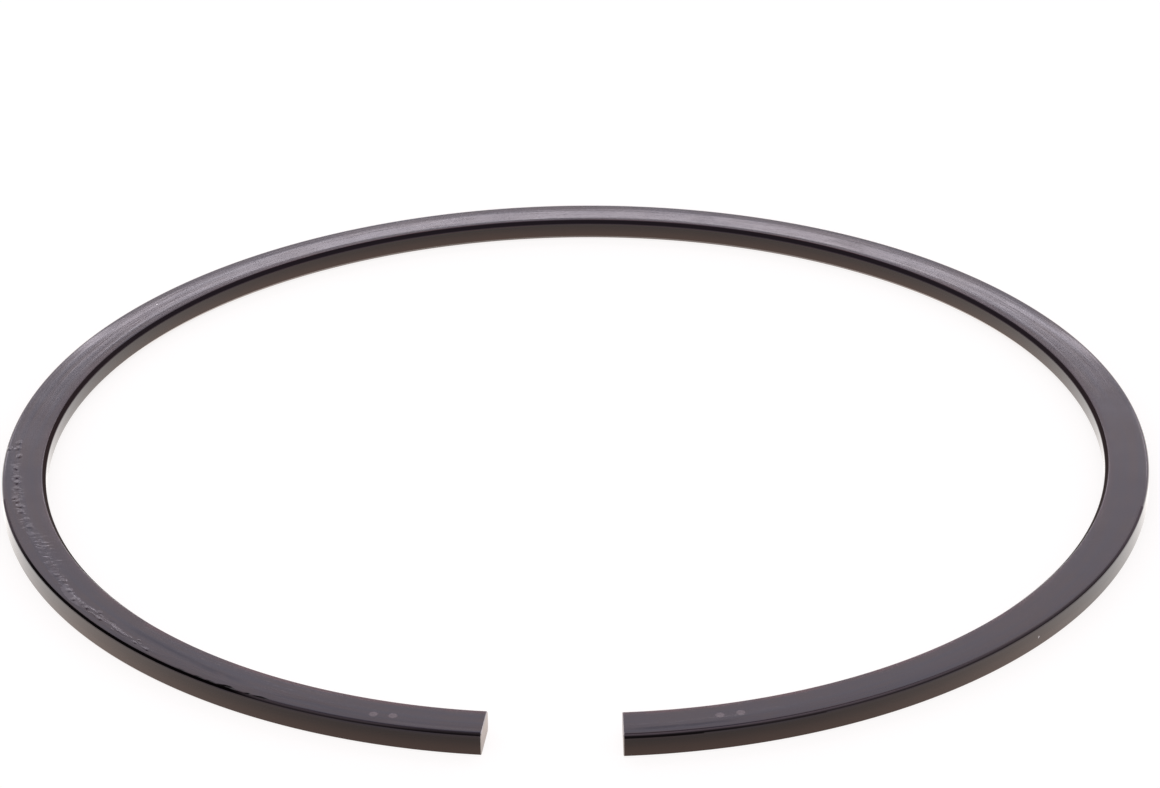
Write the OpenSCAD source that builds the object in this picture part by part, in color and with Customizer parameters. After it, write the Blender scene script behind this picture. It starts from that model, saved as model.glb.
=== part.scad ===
// Compression piston ring for the second groove of a piston, lying free on a bench.
// It is one split ring of coated cast iron with a taper-faced section.
// Its free outline is the one that presses evenly on the whole cylinder wall once the ring is
// closed: flattest at the back, and nearly as tight as the bore towards the two tips.
// The frame: +Z is the ring's axis, the gap is at -Y, and the lower side face lies at Z = 0.

/* [Cylinder] */
// Bore of the cylinder that the closed ring seals
bore = 75; // [60:0.5:110]
// Opening between the tips once the ring sits in the bore
working_gap = 0.3; // [0.1:0.05:0.8]

/* [Free shape] */
// Opening between the tips at mid width while the ring lies free
free_gap = 8.4; // [4:0.1:16]

/* [Section] */
// Radial width from the inner face to the lower edge of the running face
radial_width = 3; // [2:0.05:4.5]
// Axial height between the two side faces
axial_height = 1.5; // [1:0.05:3]
// Lean of the running face in degrees, so that only its lower edge touches the wall
face_taper = 1; // [0:0.1:3]
// Radius that breaks the upper edge of the running face
upper_edge_radius = 0.25; // [0.05:0.01:0.4]
// Radius of its lower edge, which stays keen so that it scrapes oil off the wall
lower_edge_radius = 0.1; // [0.05:0.01:0.4]
// Leg of the chamfer on the two inner edges
inner_chamfer = 0.27; // [0.05:0.01:0.4]
// Leg of the chamfer on the outer corner of each tip
tip_chamfer = 0.06; // [0.05:0.01:0.4]

/* [Hidden] */
$fn = 180;
edge_steps = 4;
COAT_BLACK = "#38343a";

// The neutral line runs at mid width, and keeps its length when the ring springs open
neutral_r = (bore - radial_width) / 2;
half_length = PI * neutral_r - working_gap / 2;

// The bending moment in the closed ring grows with 1 + cos(angle from the back).
// Each quarter takes the mean of it, so the opened ring has one radius at the back and one in front.
function opened_r(k, mean_cos) = neutral_r / (1 - k * (1 + mean_cos));
function opened_back_r(k) = opened_r(k, 2 / PI);
function opened_front_r(k) = opened_r(k, -2 / PI);

// The back arc turns through half a circle, and each front arc has what is left of the length
function opened_front_turn(k) = (half_length - opened_back_r(k) * PI / 2) / opened_front_r(k) * 180 / PI;
function opened_gap(k) =
    2 * (opened_back_r(k) - opened_front_r(k) * (1 - cos(opened_front_turn(k))));

// The spring factor that opens the tips to the free gap, refined from the small-opening formula
function refined(k, rounds) =
    rounds == 0 ? k : refined(k * (free_gap - working_gap) / (opened_gap(k) - working_gap), rounds - 1);
spring = refined((free_gap - working_gap) / (3 * PI * neutral_r), 6);

// Radii are kept to a thousandth of a millimetre, so that the arcs meet on one face
function to_micron(x) = round(x * 1000) / 1000;
back_r = to_micron(opened_back_r(spring));
front_r = to_micron(opened_front_r(spring));
front_turn = opened_front_turn(spring);

// Middle of the outline between its back and its tips, which becomes the origin
half_w = radial_width / 2;
back_y = back_r + half_w;
tips_y = -(front_r + half_w) * sin(front_turn);
middle_y = (back_y + tips_y) / 2;

// Points of a rounded edge around its centre, from one angle to another
function rounded(centre, radius, from, to) =
    [for (i = [0 : edge_steps])
        let (a = from + (to - from) * i / edge_steps)
        centre + radius * [cos(a), sin(a)]];

// Cross section, with X running outwards from the neutral line
module section() {
    lean = [cos(face_taper), sin(face_taper)];
    low_e = lower_edge_radius;
    high_e = upper_edge_radius;
    high_z = axial_height - high_e;
    low_centre = [half_w - low_e * (1 + lean.y) / lean.x, low_e];
    high_centre = [half_w - (high_e + high_z * lean.y) / lean.x, high_z];

    polygon(concat(
        rounded(low_centre, low_e, -90, face_taper),
        rounded(high_centre, high_e, face_taper, 90),
        [
            [inner_chamfer - half_w, axial_height],
            [-half_w, axial_height - inner_chamfer],
            [-half_w, inner_chamfer],
            [inner_chamfer - half_w, 0]
        ]
    ));
}

// Stretch of the section around Z, at neutral radius r
module arc(r, start, turn) {
    rotate_extrude(start = start, angle = turn) translate([r, 0]) section();
}

// Front arc on the +X side, from the end of the back arc to the tip with its broken corner
module front_arc() {
    side = tip_chamfer * sqrt(2);
    translate([back_r - front_r, 0]) difference() {
        arc(front_r, -front_turn, front_turn);
        rotate(-front_turn) translate([front_r + half_w, 0, axial_height / 2])
            rotate(45) cube([side, side, 2 * axial_height], center = true);
    }
}

module compression_ring() {
    color(COAT_BLACK) translate([0, -middle_y, 0]) {
        arc(back_r, 0, 180);
        front_arc();
        mirror([1, 0, 0]) front_arc();
    }
}

compression_ring();
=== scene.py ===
# %% [markdown]
# # A piston ring, dressed in Blender
# A compression ring is one strip of iron bent into a split circle. It lies free here, so its gap
# stands open, and its surface has a thin black coat with a satin gloss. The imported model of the
# ring is loaded first as a fixed frame. Everything below is built around it, in metres.

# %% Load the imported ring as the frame
import math
from functools import partial

import bpy
import bmesh
from mathutils import Matrix, Vector


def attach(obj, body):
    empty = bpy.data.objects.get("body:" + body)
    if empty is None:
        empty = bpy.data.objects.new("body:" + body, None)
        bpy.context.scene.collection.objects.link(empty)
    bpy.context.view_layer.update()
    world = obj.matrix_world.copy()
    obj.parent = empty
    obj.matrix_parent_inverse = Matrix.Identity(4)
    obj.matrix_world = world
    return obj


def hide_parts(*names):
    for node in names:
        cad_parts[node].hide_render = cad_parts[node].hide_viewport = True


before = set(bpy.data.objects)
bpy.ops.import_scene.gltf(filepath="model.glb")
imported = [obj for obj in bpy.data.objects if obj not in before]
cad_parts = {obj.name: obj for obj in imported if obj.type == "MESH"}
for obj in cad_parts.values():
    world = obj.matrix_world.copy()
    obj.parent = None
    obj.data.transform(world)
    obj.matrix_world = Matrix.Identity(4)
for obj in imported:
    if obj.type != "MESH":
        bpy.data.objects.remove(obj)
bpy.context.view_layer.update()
MM = 0.001


print("frame nodes:", sorted(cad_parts))

# %% [markdown]
# ## The sizes of the ring
# The section is a small rectangle. Its running face leans by one degree, its upper running edge is
# rounded, its lower one is nearly keen and its inner edges are chamfered. The sizes are those of
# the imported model, in millimetres. The last two belong to this one ring: the corners of its inner
# chamfers are softly broken, and its right tip was filed slightly out of square.

# %% Sizes in millimetres
BORE = 75.0
WORKING_GAP = 0.3
FREE_GAP = 8.4
RADIAL_WIDTH = 3.0
AXIAL_HEIGHT = 1.5
FACE_TAPER = math.radians(1.0)
UPPER_EDGE_RADIUS = 0.25
LOWER_EDGE_RADIUS = 0.1
INNER_CHAMFER = 0.27
TIP_CHAMFER = 0.06
CHAMFER_BREAK = 0.1
RIGHT_TIP_SKEW = 0.032

NEUTRAL_R = (BORE - RADIAL_WIDTH) / 2
HALF_WIDTH = RADIAL_WIDTH / 2
HALF_LENGTH = math.pi * NEUTRAL_R - WORKING_GAP / 2
print("neutral line: radius", NEUTRAL_R, "half length", round(HALF_LENGTH, 3))

# %% [markdown]
# ## The free outline
# A ring that presses evenly on its cylinder isn't round when it is free. It is flattest opposite
# the gap and almost as tight as the bore at its tips. It could be drawn as a curve through many
# points, but one long arc at the back and two shorter ones in front follow it to less than a tenth
# of a millimetre, and they meet on a common tangent, so no corner shows. How far the ring springs
# open is found in a few corrections, until its gap is the free gap.

# %% Solve the free outline
CORRECTIONS = 6


def opened_arcs(spring):
    """Back radius, front radius, turn of a front arc and gap of a ring opened by this spring factor."""
    back = NEUTRAL_R / (1 - spring * (1 + 2 / math.pi))
    front = NEUTRAL_R / (1 - spring * (1 - 2 / math.pi))
    turn = (HALF_LENGTH - back * math.pi / 2) / front
    return back, front, turn, 2 * (back - front * (1 - math.cos(turn)))


spring = (FREE_GAP - WORKING_GAP) / (3 * math.pi * NEUTRAL_R)
for _ in range(CORRECTIONS):
    spring *= (FREE_GAP - WORKING_GAP) / (opened_arcs(spring)[3] - WORKING_GAP)
back_r, front_r, front_turn, gap = opened_arcs(spring)
middle_y = (back_r + HALF_WIDTH - (front_r + HALF_WIDTH) * math.sin(front_turn)) / 2
print("back radius %.3f, front radius %.3f, gap %.3f" % (back_r, front_r, gap))

# %% [markdown]
# ## The camera
# The place, the turn and the lens were found by fitting the ring's own edges to the photograph.
# A long lens from about 0.3 metres away looks down on the ring by about 27 degrees.
# The camera's matrix is written from its three axes, which is plainer than three turned angles.

# %% Camera
CAMERA_PLACE = Vector((11.5, -262.2, 140.36)) * MM
CAMERA_PAN = math.radians(-2.432)
CAMERA_TILT = math.radians(27.285)
CAMERA_ROLL = math.radians(-0.831)
CAMERA_LENS = 134.51
SENSOR_WIDTH = 36.0

ahead = Vector((math.sin(CAMERA_PAN) * math.cos(CAMERA_TILT),
                math.cos(CAMERA_PAN) * math.cos(CAMERA_TILT),
                -math.sin(CAMERA_TILT)))
level_right = Vector((math.cos(CAMERA_PAN), -math.sin(CAMERA_PAN), 0))
level_up = level_right.cross(ahead)
right = level_right * math.cos(CAMERA_ROLL) + level_up * math.sin(CAMERA_ROLL)
up = right.cross(ahead)

lens = bpy.data.cameras.new("camera")
lens.lens = CAMERA_LENS
lens.sensor_width = SENSOR_WIDTH
camera = bpy.data.objects.new("camera", lens)
camera.matrix_world = Matrix.LocRotScale(
    CAMERA_PLACE, Matrix((right, up, -ahead)).transposed(), None)
bpy.context.scene.collection.objects.link(camera)
bpy.context.scene.camera = camera
print("camera", round(CAMERA_PLACE.length / MM, 1), "mm from the origin")

# %% [markdown]
# ## Helpers for node trees
# Every node tree here is written in code, so three small helpers keep that readable. One links a
# socket or sets a plain value, one adds a node, and one adds a Math node and hands back its result.
# Further on, partial() fills in the tree of one piece or finish, which keeps its lines short.

# %% Node helpers
NODE_COLUMNS = 12
NODE_WIDE = 220
NODE_TALL = 260


def feed(tree, socket, value):
    """Links another node's socket into this one, or sets a plain value on it."""
    if isinstance(value, bpy.types.NodeSocket):
        tree.links.new(value, socket)
    else:
        socket.default_value = value


def add(tree, kind, values=(), **settings):
    """A node with its settings made and its inputs fed, in a list by order or in a dict by name."""
    node = tree.nodes.new(kind)
    for name, value in settings.items():
        setattr(node, name, value)
    pairs = values.items() if isinstance(values, dict) else enumerate(values)
    for key, value in pairs:
        feed(tree, node.inputs[key], value)
    row, column = divmod(len(tree.nodes), NODE_COLUMNS)
    node.location = (NODE_WIDE * column, -NODE_TALL * row)
    return node


def calc(tree, operation, *values):
    """The result of a Math node."""
    return add(tree, "ShaderNodeMath", values, operation=operation).outputs[0]


print("node helpers ready")

# %% [markdown]
# ## The ring's body
# The real ring is a straight strip that was bent, and it could be modelled by sweeping a section
# along a drawn curve. Geometry Nodes do it here the way the maker does: the section is swept along
# a straight line, the tips are trimmed while the bar is straight, and then every point of the bar
# is bent onto the free outline. The tree's named inputs are the sizes above and three materials:
# the coat, the edge material with painted light, and the bare iron.

# %% Tree of the ring: named inputs
ring_tree = bpy.data.node_groups.new("split_ring", "GeometryNodeTree")
ring_tree.interface.new_socket("Geometry", in_out="OUTPUT", socket_type="NodeSocketGeometry")
SHAPE_INPUTS = {
    "Half Length": HALF_LENGTH,
    "Back Radius": back_r,
    "Front Radius": front_r,
    "Middle": middle_y,
    "Half Width": HALF_WIDTH,
    "Height": AXIAL_HEIGHT,
    "Lean": AXIAL_HEIGHT * math.tan(FACE_TAPER),
    "Upper Edge Radius": UPPER_EDGE_RADIUS,
    "Lower Edge Radius": LOWER_EDGE_RADIUS,
    "Inner Chamfer": INNER_CHAMFER,
    "Chamfer Break": CHAMFER_BREAK,
    "Tip Chamfer": TIP_CHAMFER,
    "Right Tip Skew": RIGHT_TIP_SKEW,
}
STATIONS = 901
coat = bpy.data.materials.new("black_coat")
bare_iron = bpy.data.materials.new("bare_ground_iron")
edge_painted_light = bpy.data.materials.new("painted_light_edge")

ring_inputs = {}


def ring_input(name, kind, value):
    """Adds a named input to the tree and keeps its value under the socket's identifier."""
    socket = ring_tree.interface.new_socket(name, in_out="INPUT", socket_type=kind)
    ring_inputs[socket.identifier] = value


for shape_name, size in SHAPE_INPUTS.items():
    ring_input(shape_name, "NodeSocketFloat", size)
ring_input("Stations", "NodeSocketInt", STATIONS)
ring_input("Coat", "NodeSocketMaterial", coat)
ring_input("Edge", "NodeSocketMaterial", edge_painted_light)
ring_input("Bare Iron", "NodeSocketMaterial", bare_iron)
given = ring_tree.nodes.new("NodeGroupInput").outputs
print("the ring's tree has", len(ring_inputs), "inputs")

# %% [markdown]
# ## The section
# Seen from its end, the ring has four corners. The two outer ones are the running edges and are
# rounded. The two inner ones are cut off flat, and the cut's own corners are softly broken. It could
# be drawn point by point. A Fillet Curve node is shorter: it takes a radius and a number of steps
# for each corner, and a single step makes a chamfer.

# %% Tree of the ring: the plain section
ring_math = partial(calc, ring_tree)
half_w = given["Half Width"]
height = given["Height"]
inner_x = ring_math("MULTIPLY", half_w, -1.0)
leaned_x = ring_math("SUBTRACT", half_w, given["Lean"])


def ring_node(kind, values=(), **settings):
    """The first output of a new node in the ring's tree."""
    return add(ring_tree, kind, values, **settings).outputs[0]


def corner_point(x, y):
    """A corner of the section, by its place across the ring and its height."""
    return ring_node("ShaderNodeCombineXYZ", (x, y))


plain_section = ring_node("GeometryNodeCurvePrimitiveQuadrilateral", {
    "Point 1": corner_point(inner_x, 0.0),
    "Point 2": corner_point(half_w, 0.0),
    "Point 3": corner_point(leaned_x, height),
    "Point 4": corner_point(inner_x, height),
}, mode="POINTS")
print("section drawn with", len(ring_tree.nodes), "nodes")

# %% Tree of the ring: rounded running edges and broken inner corners
EDGE_STEPS = 8
BREAK_STEPS = 4
BETWEEN_OUTER = 1.5
OUTER_REACH = 0.6


def choose(condition, if_not, if_so, kind="FLOAT"):
    """One of two values for each point, by a condition."""
    return ring_node("GeometryNodeSwitch", (condition, if_not, if_so), input_type=kind)


# Corners 1 and 2 of the plain section are the outer ones, and corner 2 is the upper of them
corner_index = ring_node("GeometryNodeInputIndex")
is_outer = ring_math("COMPARE", corner_index, BETWEEN_OUTER, OUTER_REACH)
is_upper = ring_math("GREATER_THAN", corner_index, BETWEEN_OUTER)
running_radius = choose(is_upper, given["Lower Edge Radius"], given["Upper Edge Radius"])
rounded_section = ring_node("GeometryNodeFilletCurve", {
    "Curve": plain_section,
    "Count": choose(is_outer, 1, EDGE_STEPS, "INT"),
    "Radius": choose(is_outer, given["Inner Chamfer"], running_radius),
}, mode="POLY")
# Points 0 and 1 are now the lower chamfer, and EDGE_STEPS + 1 points follow for each running edge
is_running = ring_math("COMPARE", corner_index, EDGE_STEPS + 2.5, EDGE_STEPS + 1.0)
section = ring_node("GeometryNodeFilletCurve", {
    "Curve": rounded_section,
    "Count": choose(is_running, BREAK_STEPS, 0, "INT"),
    "Radius": choose(is_running, given["Chamfer Break"], 0.0),
}, mode="POLY")
print("running edges rounded in", EDGE_STEPS, "steps")

# %% [markdown]
# ## From a straight bar to an open ring
# Curve to Mesh sweeps the section along the bar, with its stations closer together towards the
# tips. Each point remembers its place on the straight bar (along, across, up) as an attribute, so
# that trimming, bending and finishes can follow the ring round. The alternative, a sweep along the
# bent outline, would give no such place to work with.

# %% Tree of the ring: sweep along a straight bar
TIP_PACE = 0.08
bar = ring_node("GeometryNodeCurvePrimitiveLine", {"Start": (-1, 0, 0), "End": (1, 0, 0)})
bar = ring_node("GeometryNodeResampleCurve", {"Curve": bar, "Count": given["Stations"]}, mode="COUNT")
place = ring_node("GeometryNodeInputPosition")
share = ring_node("ShaderNodeSeparateXYZ", (place,))
cube = ring_math("POWER", share, 3.0)
# A cubic from -1 to 1 whose slope at the tips is the tip pace
paced = ring_math("SUBTRACT",
                  ring_math("MULTIPLY", share, TIP_PACE + 1.5 * (1 - TIP_PACE)),
                  ring_math("MULTIPLY", cube, 0.5 * (1 - TIP_PACE)))


def keep(curve, kind, name, value):
    """Stores a value on each point of a curve, and gives the curve and the value as the mesh has it."""
    node = add(ring_tree, "GeometryNodeCaptureAttribute", domain="POINT")
    node.capture_items.new(kind, name)
    feed(ring_tree, node.inputs["Geometry"], curve)
    feed(ring_tree, node.inputs[name], value)
    return node.outputs["Geometry"], node.outputs[name]


bar, along = keep(bar, "FLOAT", "along", ring_math("MULTIPLY", paced, given["Half Length"]))
section, section_place = keep(section, "VECTOR", "across", place)
swept = ring_node("GeometryNodeCurveToMesh", {"Curve": bar, "Profile Curve": section, "Fill Caps": True})
section_parts = add(ring_tree, "ShaderNodeSeparateXYZ", (section_place,)).outputs
section_x = section_parts["X"]
section_y = section_parts["Y"]
print("tree so far:", len(ring_tree.nodes), "nodes")

# %% Tree of the ring: trim the tips while the bar is straight
TRIM_START = 109.0
distance_back = ring_math("ABSOLUTE", along)
to_tip = ring_math("SUBTRACT", given["Half Length"], distance_back)
inset = ring_math("MAXIMUM", ring_math("SUBTRACT", given["Tip Chamfer"], to_tip), 0.0)
outer_limit = ring_math("SUBTRACT", half_w, inset)
inner_limit = ring_math("ADD", inner_x, inset)
across = ring_math("MAXIMUM", ring_math("MINIMUM", section_x, outer_limit), inner_limit)
high_limit = ring_math("SUBTRACT", height, inset)
level = ring_math("MAXIMUM", ring_math("MINIMUM", section_y, high_limit), inset)
near_right_tip = ring_math("MAXIMUM", ring_math("SUBTRACT", along, TRIM_START), 0.0)
trim_length = ring_math("SUBTRACT", given["Half Length"], TRIM_START)
trim_share = ring_math("DIVIDE", near_right_tip, trim_length)
trim = ring_math("MULTIPLY", ring_math("SUBTRACT", half_w, across), given["Right Tip Skew"])
distance_out = ring_math("SUBTRACT", distance_back, ring_math("MULTIPLY", trim, trim_share))
print("tips trimmed, right one skewed by", RIGHT_TIP_SKEW)

# %% Tree of the ring: bend the bar onto the free outline
QUARTER = math.pi / 2
MERGE_DISTANCE = 0.001
back_length = ring_math("MULTIPLY", given["Back Radius"], QUARTER)
past_joint = ring_math("SUBTRACT", distance_out, back_length)
in_front = ring_math("GREATER_THAN", past_joint, 0.0)
back_turn = ring_math("DIVIDE", distance_out, given["Back Radius"])
tip_turn = ring_math("ADD", ring_math("DIVIDE", past_joint, given["Front Radius"]), QUARTER)
centre_shift = ring_math("SUBTRACT", given["Back Radius"], given["Front Radius"])
turn = choose(in_front, back_turn, tip_turn)
radius = ring_math("ADD", choose(in_front, given["Back Radius"], given["Front Radius"]), across)
sideways = ring_math("ADD", ring_math("MULTIPLY", radius, ring_math("SINE", turn)),
                     choose(in_front, 0.0, centre_shift))
bent_x = ring_math("MULTIPLY", sideways, ring_math("SIGN", along))
bent_y = ring_math("SUBTRACT", ring_math("MULTIPLY", radius, ring_math("COSINE", turn)), given["Middle"])
bent_place = ring_node("ShaderNodeCombineXYZ", (bent_x, bent_y, level))
straight_place = ring_node("ShaderNodeCombineXYZ", (along, across, level))
marked = ring_node("GeometryNodeStoreNamedAttribute", {
    "Geometry": swept, "Name": "ring_place", "Value": straight_place,
}, data_type="FLOAT_VECTOR", domain="POINT")
bent = ring_node("GeometryNodeSetPosition", {"Geometry": marked, "Position": bent_place})
merged = ring_node("GeometryNodeMergeByDistance", {"Geometry": bent, "Distance": MERGE_DISTANCE})
in_metres = ring_node("GeometryNodeTransform", {"Geometry": merged, "Scale": (MM, MM, MM)})
print("bar bent, tree now", len(ring_tree.nodes), "nodes")

# %% [markdown]
# ## Creases and finishes
# A machined ring has smooth faces that meet on crisp edges. All its faces are shaded smooth, and an
# edge is kept sharp where it is steep or where a rounding begins, so that no face looks swollen.
# The whole ring then gets the black coat. The rounded running edge of the front half and the inner
# chamfer get a material with painted shade and painted highlight instead, and the tips are bare iron.
# Picking faces by their place on the bar keeps these borders straight.

# %% Tree of the ring: creases
CREASE = math.radians(35)
ROUND_START = math.radians(3)
ROUND_STEP = math.radians(8)
edge_angle = ring_node("GeometryNodeInputMeshEdgeAngle")
is_crease = ring_math("GREATER_THAN", edge_angle, CREASE)
is_round_start = ring_math("MULTIPLY", ring_math("GREATER_THAN", edge_angle, ROUND_START),
                           ring_math("LESS_THAN", edge_angle, ROUND_STEP))
is_smooth = ring_math("LESS_THAN", ring_math("ADD", is_crease, is_round_start), 0.5)
smooth_faces = ring_node("GeometryNodeSetShadeSmooth", {
    "Geometry": in_metres, "Shade Smooth": True}, domain="FACE")
smooth_edges = ring_node("GeometryNodeSetShadeSmooth", {
    "Geometry": smooth_faces, "Shade Smooth": is_smooth}, domain="EDGE")
plain_mesh = ring_node("GeometryNodeRealizeInstances", {"Geometry": smooth_edges})
print("edges steeper than", round(math.degrees(CREASE)), "degrees stay sharp")

# %% Tree of the ring: which faces get which finish
# How much of the edge radius, the inner chamfer and the tip chamfer the finishes cover
EDGE_IN = 0.62
EDGE_DOWN = 0.68
INNER_SHARE = 0.85
TIP_SHARE = 0.9
# Where the running edge with painted shade starts, and where and how fast it reaches lower on the right
EDGE_FROM = 67.0
LOWER_FROM = 100.0
EDGE_LOWER = 0.025
lower_by = ring_math("MAXIMUM", ring_math("SUBTRACT", along, LOWER_FROM), 0.0)
edge_drop = ring_math("MULTIPLY_ADD", lower_by, EDGE_LOWER, EDGE_DOWN)
edge_start = ring_math("SUBTRACT", leaned_x, ring_math("MULTIPLY", given["Upper Edge Radius"], EDGE_IN))
edge_foot = ring_math("SUBTRACT", height, ring_math("MULTIPLY", given["Upper Edge Radius"], edge_drop))
is_edge = ring_math("MULTIPLY", ring_math("GREATER_THAN", section_x, edge_start),
                    ring_math("GREATER_THAN", section_y, edge_foot))
is_edge = ring_math("MULTIPLY", is_edge, ring_math("GREATER_THAN", distance_back, EDGE_FROM))
chamfer_reach = ring_math("MULTIPLY", given["Inner Chamfer"], INNER_SHARE)
chamfer_end = ring_math("ADD", inner_x, chamfer_reach)
chamfer_foot = ring_math("SUBTRACT", height, chamfer_reach)
is_inner = ring_math("MULTIPLY", ring_math("LESS_THAN", section_x, chamfer_end),
                     ring_math("GREATER_THAN", section_y, chamfer_foot))
# These faces get the material whose colour holds painted shade and painted highlight
is_painted_light_edge = ring_math("ADD", is_edge, is_inner)
is_tip = ring_math("LESS_THAN", to_tip, ring_math("MULTIPLY", given["Tip Chamfer"], TIP_SHARE))
coated = ring_node("GeometryNodeSetMaterial", {"Geometry": plain_mesh, "Material": given["Coat"]})
edged = ring_node("GeometryNodeSetMaterial", {
    "Geometry": coated, "Selection": is_painted_light_edge, "Material": given["Edge"]})
finished = ring_node("GeometryNodeSetMaterial", {
    "Geometry": edged, "Selection": is_tip, "Material": given["Bare Iron"]})
feed(ring_tree, ring_tree.nodes.new("NodeGroupOutput").inputs["Geometry"], finished)
print("the finished tree has", len(ring_tree.nodes), "nodes")

# %% Make the ring and turn the result into a plain mesh
ring = bpy.data.objects.new("split_ring", bpy.data.meshes.new("split_ring"))
bpy.context.scene.collection.objects.link(ring)
sweep = ring.modifiers.new("split_ring", "NODES")
sweep.node_group = ring_tree
for identifier, value in ring_inputs.items():
    sweep[identifier] = value
depsgraph = bpy.context.evaluated_depsgraph_get()
plain = bpy.data.meshes.new_from_object(
    ring.evaluated_get(depsgraph), preserve_all_data_layers=True, depsgraph=depsgraph)
ring.modifiers.clear()
ring.data = plain
plain.name = "split_ring"

check = bmesh.new()
check.from_mesh(plain)
open_edges = [edge for edge in check.edges if len(edge.link_faces) != 2]
volume = check.calc_volume(signed=True) / MM ** 3
print("ring:", len(check.faces), "faces,", len(open_edges), "open edges, volume", round(volume, 1), "mm3")
print("materials:", [material.name for material in plain.materials])
check.free()

# %% [markdown]
# ## Effects that the finishes share
# A coated side and a ground tip are both worked metal, so both have a fine grain, soft clouds of
# tone and fine lines left by the tool. Those effects are one shader node group, built once. Three
# more groups make masks: one picks a stretch of the ring between two values, one picks a round
# spot, and one a longish dab. Groups hand out only values and masks; each material keeps its own
# shader.

# %% Helpers for shader trees
def new_group(name, inputs, outputs):
    """An empty shader group with named float or vector inputs and float outputs."""
    group = bpy.data.node_groups.new(name, "ShaderNodeTree")
    for socket_name, value in inputs.items():
        kind = "NodeSocketFloat" if isinstance(value, float) else "NodeSocketVector"
        socket = group.interface.new_socket(socket_name, in_out="INPUT", socket_type=kind)
        socket.default_value = value
    for socket_name in outputs:
        group.interface.new_socket(socket_name, in_out="OUTPUT", socket_type="NodeSocketFloat")
    return group, group.nodes.new("NodeGroupInput").outputs, group.nodes.new("NodeGroupOutput").inputs


def ease(tree, value, start, end, low=0.0, high=1.0):
    """A soft step from low to high while the value goes from start to end."""
    return add(tree, "ShaderNodeMapRange", {
        "Value": value, "From Min": start, "From Max": end, "To Min": low, "To Max": high,
    }, interpolation_type="SMOOTHSTEP").outputs["Result"]


def vector_calc(tree, operation, *values):
    """The result of a Vector Math node, which is a plain value for a distance or a length."""
    result = "Value" if operation in ("DISTANCE", "LENGTH") else "Vector"
    return add(tree, "ShaderNodeVectorMath", values, operation=operation).outputs[result]


def noise(tree, where, scale, detail=2.0, rough=0.5):
    """Plain noise between 0 and 1 at this many features to the millimetre."""
    return add(tree, "ShaderNodeTexNoise", {
        "Vector": where, "Scale": scale, "Detail": detail, "Roughness": rough}).outputs[0]


print("shader helpers ready")

# %% Group: a stretch between two values
stretch_group, stretch_in, stretch_out = new_group(
    "stretch_mask", {"Value": 0.0, "From": 0.0, "To": 1.0, "Soft": 0.1}, ["Mask"])


def soft_border(tree, value, border, soft, low, high):
    """A soft step around a border."""
    start = calc(tree, "SUBTRACT", border, soft)
    return ease(tree, value, start, calc(tree, "ADD", border, soft), low, high)


rising = soft_border(stretch_group, stretch_in["Value"], stretch_in["From"], stretch_in["Soft"], 0.0, 1.0)
falling = soft_border(stretch_group, stretch_in["Value"], stretch_in["To"], stretch_in["Soft"], 1.0, 0.0)
feed(stretch_group, stretch_out["Mask"], calc(stretch_group, "MULTIPLY", rising, falling))
print("group", stretch_group.name, "ready")

# %% Group: a round spot
spot_group, spot_in, spot_out = new_group(
    "spot_mask", {"Place": (0, 0, 0), "Centre": (0, 0, 0), "Radius": 0.2, "Soft": 0.03}, ["Mask"])
off_centre = vector_calc(spot_group, "DISTANCE", spot_in["Place"], spot_in["Centre"])
spot_mask = soft_border(spot_group, off_centre, spot_in["Radius"], spot_in["Soft"], 1.0, 0.0)
feed(spot_group, spot_out["Mask"], spot_mask)
print("group", spot_group.name, "ready")

# %% Group: a longish dab, highest in its middle
dab_group, dab_in, dab_out = new_group("dab_mask", {
    "Place": (0, 0, 0), "Centre": (0, 0, 0), "Turn": 0.0, "Long": 0.3, "Wide": 0.2}, ["Mask"])
dab_offset = vector_calc(dab_group, "SUBTRACT", dab_in["Place"], dab_in["Centre"])
dab_turned = add(dab_group, "ShaderNodeVectorRotate", {
    "Vector": dab_offset, "Angle": dab_in["Turn"]}, rotation_type="Z_AXIS").outputs[0]
dab_size = add(dab_group, "ShaderNodeCombineXYZ", (dab_in["Long"], dab_in["Wide"], 1.0)).outputs[0]
dab_reach = vector_calc(dab_group, "LENGTH", vector_calc(dab_group, "DIVIDE", dab_turned, dab_size))
feed(dab_group, dab_out["Mask"], ease(dab_group, dab_reach, 0.0, 1.0, 1.0, 0.0))
print("group", dab_group.name, "ready")

# %% Group: grain, clouds and tool lines of worked metal
metal_group, metal_in, metal_out = new_group("worked_metal", {
    "Place": (0, 0, 0), "Grain Size": 0.1, "Cloud Size": 2.0, "Lines": (0.05, 12.0, 12.0),
}, ["Grain", "Cloud", "Tool Lines"])
grain_scale = calc(metal_group, "DIVIDE", 1.0, metal_in["Grain Size"])
cloud_scale = calc(metal_group, "DIVIDE", 1.0, metal_in["Cloud Size"])
drawn_out = vector_calc(metal_group, "MULTIPLY", metal_in["Place"], metal_in["Lines"])
feed(metal_group, metal_out["Grain"], noise(metal_group, metal_in["Place"], grain_scale))
feed(metal_group, metal_out["Cloud"],
     noise(metal_group, metal_in["Place"], cloud_scale, detail=4.0, rough=0.6))
feed(metal_group, metal_out["Tool Lines"], noise(metal_group, drawn_out, 1.0, detail=3.0, rough=0.6))
print("group", metal_group.name, "ready")

# %% [markdown]
# ## The black coat
# The coat is a thin layer of dark crystals on the iron, filled with oil. It is almost black and
# reflects like a lacquer, so most of what the eye sees on it is the pale room mirrored in a satin
# surface. The upper side looks violet grey and the upright faces look brown. Colour, roughness and
# relief all read the place on the straight bar: x runs along the ring, y across it and z up.

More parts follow.
